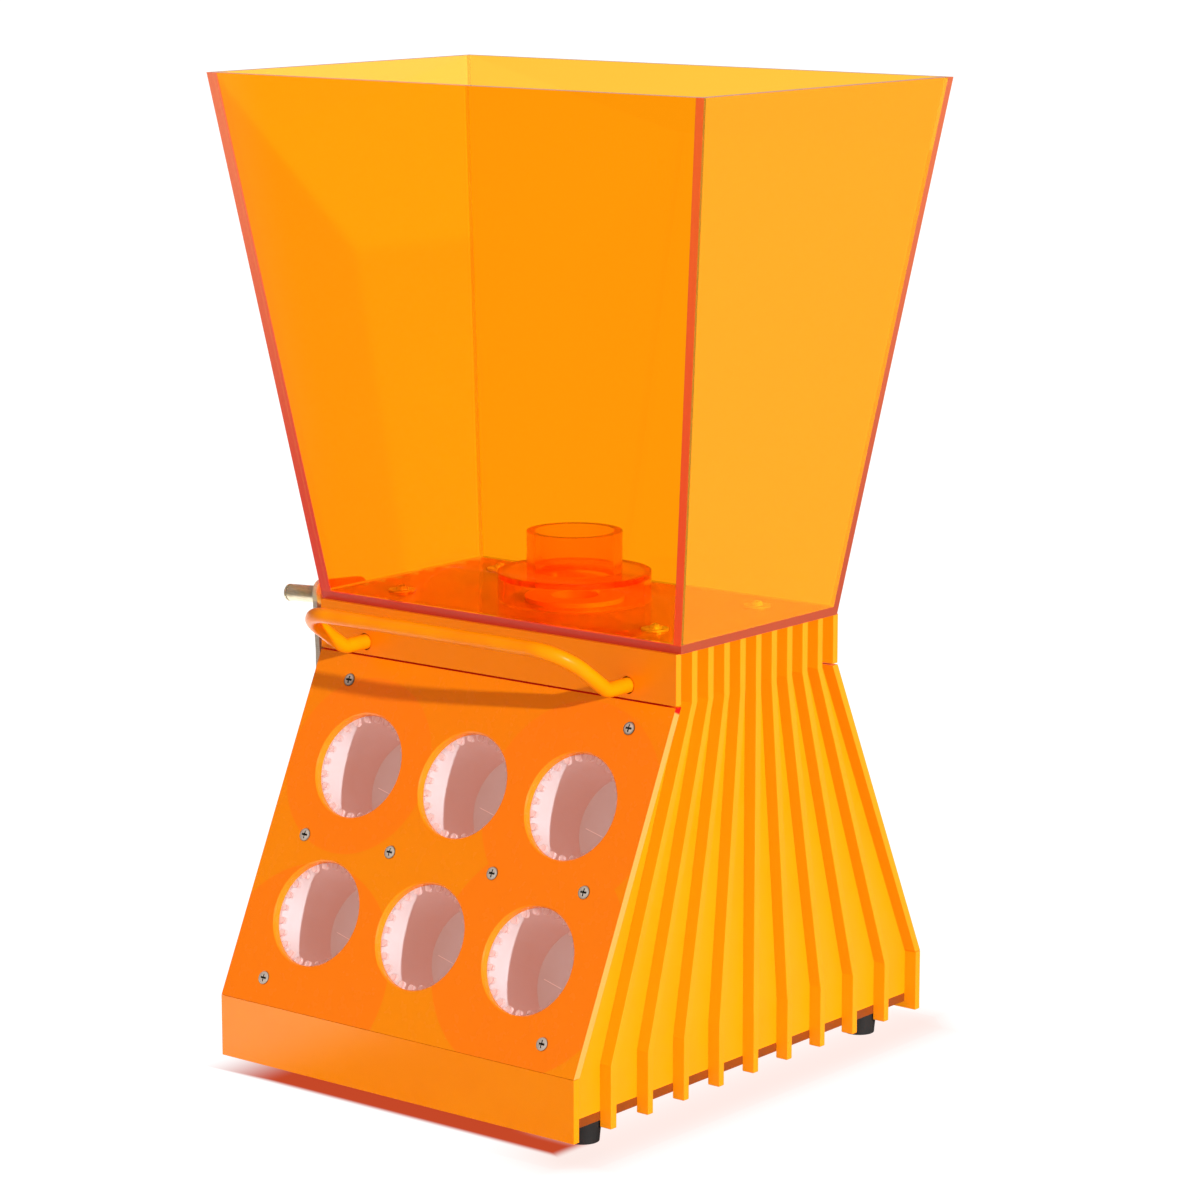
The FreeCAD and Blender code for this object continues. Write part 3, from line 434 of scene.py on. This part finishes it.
def slope_place(n):
    """Place in the sloping panel's own axes: across, up the slope and inwards."""
    place = n.place()
    up = n.math("SUBTRACT", n.along(place, SLOPE_UP), SLOPE_FOOT.dot(SLOPE_UP))
    inwards = n.math("SUBTRACT", n.along(place, SLOPE_IN), SLOPE_FOOT.dot(SLOPE_IN))
    return n.xyz(place)[0], up, inwards


def mould_mark(n):
    """Thin straight line on the floor of each cup."""
    x, up, inwards = slope_place(n)
    run, rise = MARK_END[0] - MARK_START[0], MARK_END[1] - MARK_START[1]
    length = math.hypot(run, rise)
    mark = 0.0
    for number in WELLS:
        centre_x, centre_s = well_centre(number)
        dx = n.math("SUBTRACT", x, centre_x + MARK_START[0])
        ds = n.math("SUBTRACT", up, centre_s + MARK_START[1])
        off = n.math("SUBTRACT", n.math("MULTIPLY", dx, rise / length),
                     n.math("MULTIPLY", ds, run / length))
        way = n.math("ADD", n.math("MULTIPLY", dx, run / length),
                     n.math("MULTIPLY", ds, rise / length))
        line = n.ramp(n.math("ABSOLUTE", off), MARK_WIDTH, 0.0)
        part = n.math("MULTIPLY", n.ramp(way, 0.0, MARK_FADE),
                      n.ramp(way, length, length - MARK_FADE))
        mark = n.math("MAXIMUM", mark, n.math("MULTIPLY", line, part))
    return mark


def opal_cup():
    """White cup plastic with a thin mould mark across its floor and a painted pink glow, paler on
    the floor, that lifts the shade inside the cup.
    """
    n = new_material("opal_cup")
    on_floor = n.facing(SLOPE_IN, 0.8, 0.95, either_way=True)
    mark = n.math("MULTIPLY", mould_mark(n), on_floor)
    plastic = n.mix(n.uneven(20 * MM, 0.0, 1.0), CUP_WHITE, CUP_SHADE)
    grain = n.math("MULTIPLY", n.noise(1.5 * MM), 0.1)
    shader = n.principled(
        Base_Color=n.mix(mark, plastic, (1, 1, 1, 1)),
        Roughness=0.35,
        Normal=n.bump(n.math("ADD", grain, mark), 0.1 * MM),
        # painted glow: pinker on the walls, paler on the floor
        Emission_Color=n.mix(on_floor, CUP_WALL_GLOW, CUP_FLOOR_GLOW),
    )
    shader.inputs["Emission Strength"].default_value = 1.0
    return n.show(shader.outputs["BSDF"])


def opal_ring():
    """Toothed ring of clearer plastic, with a pink line round the front of its teeth and a faint
    painted glow.
    """
    n = new_material("opal_ring")
    x, up, inwards = slope_place(n)
    low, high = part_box("well_ring_1")
    front = ((low + high) / 2 - SLOPE_FOOT).dot(SLOPE_IN) - RING_HALF
    line = n.ramp(inwards, front + TOOTH_LINE_DEPTH, front + 0.6 * TOOTH_LINE_DEPTH)
    line = n.math("MULTIPLY", line, n.facing(SLOPE_IN, 0.75, 0.5, either_way=True))
    shader = n.principled(
        Base_Color=n.mix(line, RING_WHITE, TOOTH_LINE),
        Roughness=n.uneven(3 * MM, 0.3, 0.4),
        IOR=RING_IOR,
    )
    shader.inputs["Transmission Weight"].default_value = RING_CLEAR
    # painted glow
    shader.inputs["Emission Color"].default_value = RING_GLOW
    shader.inputs["Emission Strength"].default_value = 1.0
    return n.show(n.let_light_through(shader.outputs["BSDF"], RING_LETS_KEY_THROUGH))


def enamel():
    n = new_material("handle_enamel")
    shader = n.principled(
        Base_Color=n.mix(n.clouds(18 * MM), ENAMEL, ENAMEL_SHADE),
        Roughness=n.uneven(12 * MM, 0.3, 0.36),
        Normal=n.bump(n.noise(12 * MM, 1.0), 0.02 * MM),
        Specular_IOR_Level=ENAMEL_GLOSS,
    )
    return n.show(shader.outputs["BSDF"])


def steel(name, colours, roughness, grain, metallic, recess=False):
    """Steel with fine lines; grain is the lines' size along X, Y and Z in metres.

    The metallic share is low where a dull zinc coat scatters the light. With recess, what lies
    below the sloping panel's face is darkened: painted shade in the recess.
    """
    n = new_material(name)
    colour, shade = colours
    scaled = n.tree.nodes.new("ShaderNodeVectorMath")
    scaled.operation = "DIVIDE"
    n.feed(scaled.inputs[0], n.place())
    scaled.inputs[1].default_value = grain
    lines = n.noise(1.0, vector=scaled.outputs[0])
    base = n.mix(n.ramp(lines, 0.3, 0.7), colour, shade)
    if recess:
        x, up, inwards = slope_place(n)
        # painted shade below the panel's face
        base = n.mix(n.ramp(inwards, -0.15 * MM, 0.25 * MM), base, RECESS_SHADE)
    shader = n.principled(
        Base_Color=base,
        Roughness=n.ramp(lines, 0.3, 0.7, roughness - 0.05, roughness + 0.07),
        Normal=n.bump(lines, 0.006 * MM),
    )
    shader.inputs["Metallic"].default_value = metallic
    return n.show(shader.outputs["BSDF"])


def rubber():
    n = new_material("black_rubber")
    shader = n.principled(
        Base_Color=n.mix(n.noise(4 * MM), *RUBBER),
        Roughness=0.7,
        Normal=n.bump(n.noise(0.8 * MM), 0.04 * MM),
    )
    return n.show(shader.outputs["BSDF"])


FRONT = satin_plastic("front_orange", FRONT_ORANGE, FRONT_SHADE, FRONT_ROUGHNESS, FRONT_EDGE_GLOW)
PLINTH_LOOK = satin_plastic("plinth_orange", PLINTH_ORANGE, PLINTH_SHADE, FRONT_ROUGHNESS,
                            FRONT_EDGE_GLOW)
SIDE = side_plastic()
WHITE = satin_plastic("white_plastic", *WHITE_PLASTIC, 0.45)
CUP = opal_cup()
RING = opal_ring()
CRANK = steel("crank_steel", CRANK_STEEL, 0.34, LONG_GRAIN, 0.6)
PLATE = steel("plate_steel", PLATE_STEEL, 0.4, LONG_GRAIN, 0.2)
SCREW = steel("screw_steel", SCREW_STEEL, 0.3, ROUND_GRAIN, 0.35)
PANEL_SCREW = steel("panel_screw", PANEL_SCREW_STEEL, 0.3, ROUND_GRAIN, 0.3, recess=True)
SEAT = acrylic("acrylic_seat", SEAT_DENSITY, (), SEAT_HAZE, 0.09)
ALL_ROUND = ((1, 0, 0), (-1, 0, 0), (0, 1, 0), (0, -1, 0))

LOOK = {
    "hopper_left": acrylic("acrylic_left", LEFT_DENSITY, ((0, -1, 0), UP), WALL_HAZE, 0.12),
    "hopper_right": acrylic("acrylic_right", WALL_DENSITY, ((0, -1, 0), UP), WALL_HAZE, 0.16),
    "hopper_front": acrylic("acrylic_front", WALL_DENSITY, ((-1, 0, 0), UP),
                            glue_line=front_glue_line),
    "hopper_back": acrylic("acrylic_back", WALL_DENSITY, ((1, 0, 0), (-1, 0, 0), UP)),
    "hopper_floor": acrylic("acrylic_floor", FLOOR_DENSITY, ALL_ROUND, FLOOR_HAZE, 0.35),
    "base_plate": acrylic("acrylic_base", BASE_DENSITY, ALL_ROUND),
    "seat_skirt": SEAT,
    "seat_neck": SEAT,
    "seat_spigot": FRONT,
    "front_screws": PANEL_SCREW,
    "front_panel": panel_print(),
    "front_plinth": PLINTH_LOOK,
    "rear_collar": SIDE,
    "rear_panel": SIDE,
    "rear_plinth": SIDE,
    "carry_handle": enamel(),
    "crank_plate": PLATE,
    "rubber_feet": rubber(),
}
LOOK["spigot_seal"] = LOOK["rubber_feet"]
LOOK.update({"well_cup_%d" % number: CUP for number in WELLS})
LOOK.update({"well_ring_%d" % number: RING for number in WELLS})
SLOT_LOOK = {
    "orange_sheet": FRONT,
    "yellow_side": SIDE,
    "opal_white": WHITE,
    "crank_steel": CRANK,
    "screw_steel": SCREW,
    "white_plastic": WHITE,
}

# ---------------------------------------------------------------- pieces

SLOT_OF = {part["node"]: part["material_slot"] for part in frame["record"]["subparts"]}
WELD = 0.002 * MM
SHRINK = 0.03 * MM          # keeps clear faces that touch from lying in one plane
CLEAR_NODES = ("hopper_front", "hopper_back", "hopper_left", "hopper_right", "hopper_floor",
               "seat_skirt", "seat_neck", "base_plate")
EDGE_ROUND = {
    "side_fins_left": 0.35 * MM,
    "side_fins_right": 0.35 * MM,
    "crank_plate": 0.3 * MM,
    "crank_nut": 0.3 * MM,
    "crank_grip": 0.4 * MM,
}
SHARP = math.radians(35)


def add_modifier(piece, kind, **settings):
    modifier = piece.modifiers.new(kind.lower(), kind)
    for key, value in settings.items():
        setattr(modifier, key, value)


def dress(node, piece):
    piece.data.materials.clear()
    piece.data.materials.append(LOOK.get(node) or SLOT_LOOK[SLOT_OF[node]])
    if node in CLEAR_NODES or node in EDGE_ROUND:
        add_modifier(piece, "WELD", merge_threshold=WELD)
    if node in CLEAR_NODES:
        add_modifier(piece, "DISPLACE", strength=-SHRINK, mid_level=0.0)
    if node in EDGE_ROUND:
        add_modifier(piece, "BEVEL", width=EDGE_ROUND[node], segments=2, limit_method="ANGLE",
                     angle_limit=SHARP, use_clamp_overlap=True)
        add_modifier(piece, "WEIGHTED_NORMAL", keep_sharp=True, weight=100)


for node_name, node_object in frame["nodes"].items():
    dress(node_name, node_object)

# ---------------------------------------------------------------- studio

FLOOR_SIZE = 60.0
FLOOR_SINK = 0.2 * MM
FLOOR_MATT = (0.95, 0.95, 0.95, 1.0)
FLOOR_WHITE = (1.1, 1.1, 1.1, 1.0)
# Painted pink bounce light beside the body's right side.
FLOOR_PINK_BOUNCE = linear(255, 238, 233)
FLOOR_NEAR = (0.9, 0.3, 0.18, 1.0)      # floor that only sees orange light
FLOOR_RED = (0.34, 0.03, 0.01, 1.0)     # painted orange light under and close to the body
# Painted contact shadow along the plinth's front, an emitted colour.
CONTACT_SHADOW = linear(198, 72, 40)
LIT_LIFT = 0.97             # share of painted plain white where the key light reaches under the body

# Where the floor turns from orange to white. Two distances are the ramp's start and end, counted
# inwards from the body's right side or from its front.
OUTLINE_FADE = 14 * MM      # outwards from the body's outline
LEFT_FADE = (-70 * MM, -120 * MM)       # along X
SHADOW_FADE = (30 * MM, 12 * MM)        # from the front, back edge of the contact shadow
LIT_SIDE = (48 * MM, 22 * MM)           # from the right side, behind the contact shadow
LIT_CORNER = (15 * MM, 7 * MM)          # from the right side, also in the contact shadow
LIT_FRONT = (4 * MM, -1 * MM)           # from the front
PINK_BOUNCE_REACH = 38 * MM                   # painted pink bounce light outside the outline
PINK_BOUNCE_SIDE = (60 * MM, 0.0)             # from the right side

AMBIENT = 0.55
AMBIENT_TINT = (1.0, 0.8, 0.74, 1.0)
KEY_LEVEL = 1.15            # brightness of a white surface square to the key light
KEY_DIRECTION = Vector((0.914, -0.276, 0.297))
KEY_SOFTNESS = math.radians(1.2)

# What glossy surfaces mirror: dark in front, brighter on the left, dim behind, and a bright
# stretch of floor close to the body on the left.
MIRRORED_LEFT = 0.35
MIRRORED_REAR = 0.2
MIRRORED_EDGE = (0.15, 0.3)             # between front and left, as the direction's Y minus X
MIRRORED_HEIGHT = 0.1                   # from which the floor's own directions are taken
MIRRORED_PATCH = 0.3                    # floor far off on the left
PATCH_EDGE = (0.02, 0.1)                # Y minus X
PATCH_START = (-0.5, -0.7)              # along X
MIRRORED_CLOSE = 2.8
CLOSE_SIDE = (-60 * MM, -130 * MM)      # along X
CLOSE_FRONT = (-380 * MM, -240 * MM)    # along Y


def mirrored_studio(n, direction):
    """Brightness that a glossy surface mirrors from a direction."""
    x, y, z = n.xyz(direction)
    left = n.ramp(n.math("SUBTRACT", y, x), *MIRRORED_EDGE, 0.0, MIRRORED_LEFT)
    left = n.math("MULTIPLY", left, n.ramp(x, -0.1, -0.5))
    rear = n.ramp(y, 0.1, 0.5, 0.0, MIRRORED_REAR)
    return n.math("MAXIMUM", left, rear)


def mirrored_floor(n, x, y):
    """Brightness that a glossy surface mirrors from a place on the floor."""
    seen_from = n.tree.nodes.new("ShaderNodeVectorMath")
    seen_from.operation = "SUBTRACT"
    n.feed(seen_from.inputs[0], n.place())
    seen_from.inputs[1].default_value = (0, 0, MIRRORED_HEIGHT)
    outwards = n.tree.nodes.new("ShaderNodeVectorMath")
    outwards.operation = "NORMALIZE"
    n.feed(outwards.inputs[0], seen_from.outputs[0])
    far = mirrored_studio(n, outwards.outputs[0])
    on_left = n.ramp(n.math("SUBTRACT", y, x), *PATCH_EDGE)
    patch = n.math("MULTIPLY", on_left, n.ramp(x, *PATCH_START))
    far = n.math("MAXIMUM", far, n.math("MULTIPLY", patch, MIRRORED_PATCH))
    close = n.math("MULTIPLY", n.ramp(x, *CLOSE_SIDE), n.ramp(y, *CLOSE_FRONT))
    return n.math("MAXIMUM", far, n.math("MULTIPLY", close, MIRRORED_CLOSE))


def pictured_floor(n, x, y):
    """Floor that the camera sees: white, with painted orange light, painted pink bounce light and
    a painted contact shadow at the body.
    """
    beyond_x = n.math("SUBTRACT", n.math("ABSOLUTE", x), HALF_WIDTH)
    beyond_y = n.math("SUBTRACT", n.math("ABSOLUTE", y), HALF_FOOT)
    beyond = n.math("ADD", n.math("MAXIMUM", beyond_x, 0.0), n.math("MAXIMUM", beyond_y, 0.0))
    from_side = n.math("SUBTRACT", HALF_WIDTH, x)
    from_front = n.math("ADD", y, HALF_FOOT)
    shadow = n.ramp(from_front, *SHADOW_FADE)
    lit_side = n.math("MULTIPLY", n.ramp(from_side, *LIT_SIDE, 0.0, LIT_LIFT),
                      n.math("SUBTRACT", 1.0, shadow))
    lift = n.ramp(beyond, 0.0, OUTLINE_FADE)
    for white in (n.ramp(x, *LEFT_FADE), lit_side,
                  n.ramp(from_side, *LIT_CORNER, 0.0, LIT_LIFT),
                  n.ramp(from_front, *LIT_FRONT, 0.0, LIT_LIFT)):
        lift = n.math("MAXIMUM", lift, white)

    near = n.tree.nodes.new("ShaderNodeAddShader")
    n.feed(near.inputs[0], n.add("ShaderNodeBsdfDiffuse", Color=FLOOR_NEAR).outputs[0])
    n.feed(near.inputs[1], n.add("ShaderNodeEmission", Color=FLOOR_RED).outputs[0])
    # painted contact shadow
    contact = n.add("ShaderNodeEmission", Color=CONTACT_SHADOW).outputs[0]
    under = n.blend(shadow, near.outputs[0], contact)
    # painted pink bounce light beside the right side
    pink_bounce = n.math("MULTIPLY", n.ramp(beyond, PINK_BOUNCE_REACH, 0.0), n.ramp(from_side, *PINK_BOUNCE_SIDE))
    colour = n.mix(pink_bounce, FLOOR_WHITE, FLOOR_PINK_BOUNCE)
    return n.blend(lift, under, n.add("ShaderNodeEmission", Color=colour).outputs[0])


def studio_floor():
    half = FLOOR_SIZE / 2
    mesh = bpy.data.meshes.new("studio_floor")
    corners = [(-half, -half), (half, -half), (half, half), (-half, half)]
    mesh.from_pydata([(x, y, -FLOOR_SINK) for x, y in corners], [], [(0, 1, 2, 3)])
    plane = bpy.data.objects.new("studio_floor", mesh)
    bpy.context.scene.collection.objects.link(plane)
    n = new_material("studio_floor")
    x, y, z = n.xyz(n.place())
    path = n.add("ShaderNodeLightPath").outputs
    seen = n.math("ADD", path["Is Camera Ray"], path["Is Transmission Ray"], clamp=True)
    matt = n.add("ShaderNodeBsdfDiffuse", Color=FLOOR_MATT).outputs[0]
    mirrored = n.add("ShaderNodeEmission", Strength=mirrored_floor(n, x, y)).outputs[0]
    lit = n.blend(path["Is Glossy Ray"], matt, mirrored)
    mesh.materials.append(n.show(n.blend(seen, lit, pictured_floor(n, x, y))))
    mesh.materials[0].cycles.emission_sampling = "NONE"


def surroundings():
    world = bpy.data.worlds.new("studio")
    bpy.context.scene.world = world
    n = Nodes(world, "ShaderNodeOutputWorld")
    path = n.add("ShaderNodeLightPath").outputs
    seen = n.math("ADD", path["Is Camera Ray"], path["Is Transmission Ray"], clamp=True)
    direction = n.add("ShaderNodeTexCoord").outputs["Generated"]
    soft = n.add("ShaderNodeBackground", Color=AMBIENT_TINT, Strength=AMBIENT).outputs[0]
    white = n.add("ShaderNodeBackground", Strength=1.0).outputs[0]
    mirrored = n.add("ShaderNodeBackground", Strength=mirrored_studio(n, direction)).outputs[0]
    surface = n.blend(path["Is Glossy Ray"], soft, mirrored)
    n.show(n.blend(seen, surface, white))


def key_light():
    lamp = bpy.data.lights.new("key", "SUN")
    lamp.energy = KEY_LEVEL * math.pi
    lamp.angle = KEY_SOFTNESS
    lamp_object = bpy.data.objects.new("key", lamp)
    lamp_object.rotation_mode = "QUATERNION"
    lamp_object.rotation_quaternion = KEY_DIRECTION.to_track_quat("Z", "Y")
    bpy.context.scene.collection.objects.link(lamp_object)


CAMERA_PLACE = Vector((1.1109, -1.3707, 0.5420))
CAMERA_PITCH = math.radians(10.821)
CAMERA_TURN = math.radians(38.695)
CAMERA_LENS = 121.98
SENSOR = 36.0


def camera():
    data = bpy.data.cameras.new("camera")
    data.lens = CAMERA_LENS
    data.sensor_width = SENSOR
    data.clip_start = 0.05
    data.clip_end = 100.0
    view = bpy.data.objects.new("camera", data)
    view.location = CAMERA_PLACE
    view.rotation_euler = (math.pi / 2 - CAMERA_PITCH, 0, CAMERA_TURN)
    bpy.context.scene.collection.objects.link(view)
    bpy.context.scene.camera = view


studio_floor()
surroundings()
key_light()
camera()
bpy.context.scene.view_settings.view_transform = "Standard"
